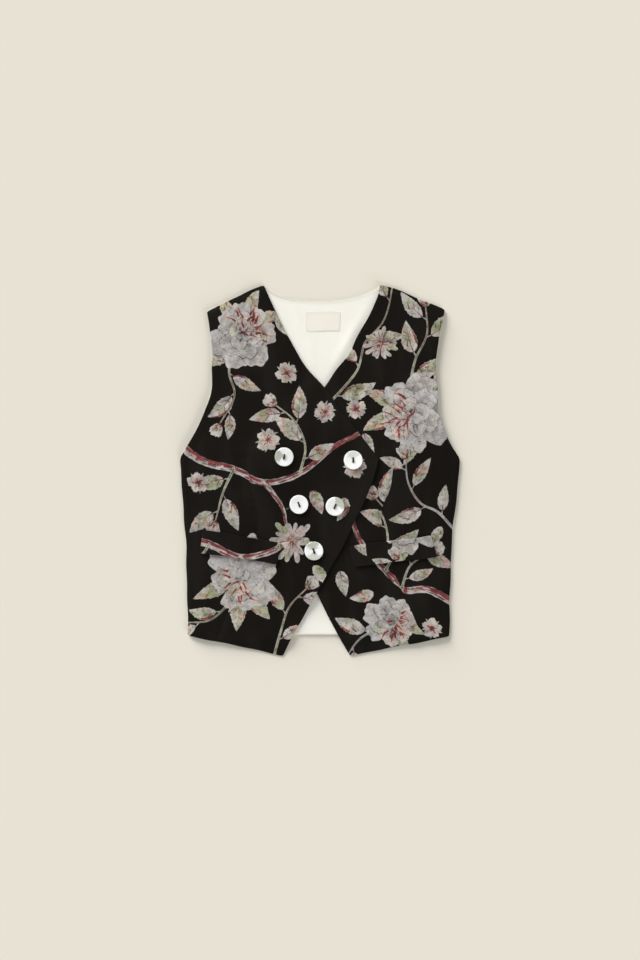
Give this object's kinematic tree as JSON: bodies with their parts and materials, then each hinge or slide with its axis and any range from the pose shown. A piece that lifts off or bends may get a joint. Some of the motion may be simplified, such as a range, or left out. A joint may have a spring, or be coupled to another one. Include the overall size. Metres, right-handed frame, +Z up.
{
  "type": "waistcoat",
  "caption": "Double-breasted waistcoat with a V neck, pointed fronts, slanted pocket flaps and large shell buttons, buttoned and laid flat on its back.",
  "frame": {"origin": "on the surface that the garment lies on, under the middle of its outline", "axes": "+X towards the wearer's left side, +Y towards the neck, +Z up from the surface, out of the fronts"},
  "size_m": [0.4208, 0.5556, 0.0142],
  "materials": {
    "figured_cloth": "matte black cloth with a woven figure of pale flowers",
    "cream_cloth": "smooth cream cloth",
    "cream_lining": "smooth cream lining with a faint sheen",
    "label_cloth": "close woven cream ribbon, bare",
    "shell": null
  },
  "bodies": {
    "root": {"back_panel": "cream_cloth", "back_lining": "cream_lining", "left_front": "figured_cloth", "right_front": "figured_cloth", "left_pocket_flap": "figured_cloth", "right_pocket_flap": "figured_cloth", "neck_label": "label_cloth", "button_upper_right": "shell", "button_upper_left": "shell", "button_middle_right": "shell", "button_middle_left": "shell", "button_low": "shell"}
  },
  "joints": []
}
